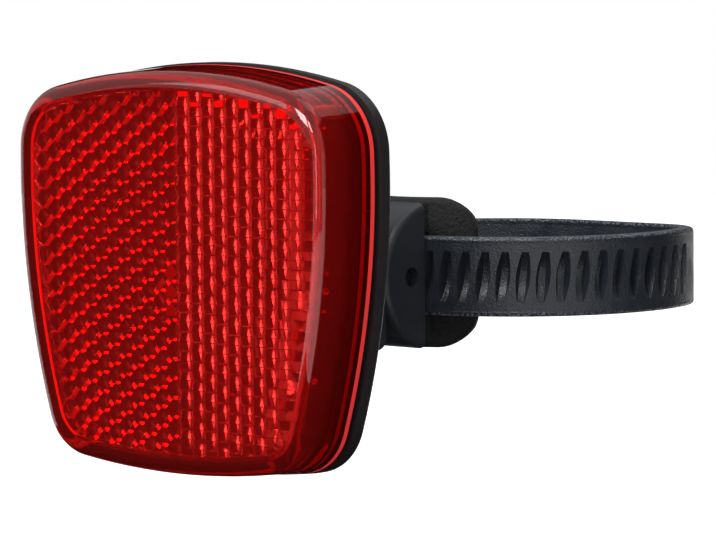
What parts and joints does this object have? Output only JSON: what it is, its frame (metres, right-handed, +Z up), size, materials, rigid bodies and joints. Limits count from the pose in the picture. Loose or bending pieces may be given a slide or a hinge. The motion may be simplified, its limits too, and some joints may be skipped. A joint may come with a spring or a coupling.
{
  "type": "rear reflector",
  "caption": "Red prismatic bicycle rear reflector with a black back, on an arm with a worm-driven strap clamp for a seat post.",
  "frame": {"origin": "on the seat post's axis, at the mid height of the clamp's saddle", "axes": "+Z up along the seat post, +Y forwards towards the bicycle's front, so the lens faces -Y, +X to the right seen from behind the bicycle"},
  "size_m": [0.0693, 0.0958, 0.0638],
  "materials": {
    "red_lens": "clear red moulded acrylic, polished",
    "black_cover": "black moulded ABS",
    "black_bracket": "black moulded nylon, fine eroded texture",
    "black_strap": "black moulded nylon, satin",
    "black_worm": "black moulded acetal",
    "zinc_steel": "zinc plated steel"
  },
  "bodies": {
    "clamp_and_reflector": {"lens": "red_lens", "rear_cover": "black_cover", "mounting_bolt": "zinc_steel", "washer": "zinc_steel", "nut": "zinc_steel", "bracket": "black_bracket", "strap": "black_strap"},
    "worm": {"worm_screw": "black_worm"}
  },
  "joints": [
    {"name": "worm_turn", "type": "hinge", "parent": "clamp_and_reflector", "child": "worm", "pos_m": [0, -0.0224, 0], "axis": [1, 0, 0], "continuous": true, "deforming": ["strap"]}
  ]
}
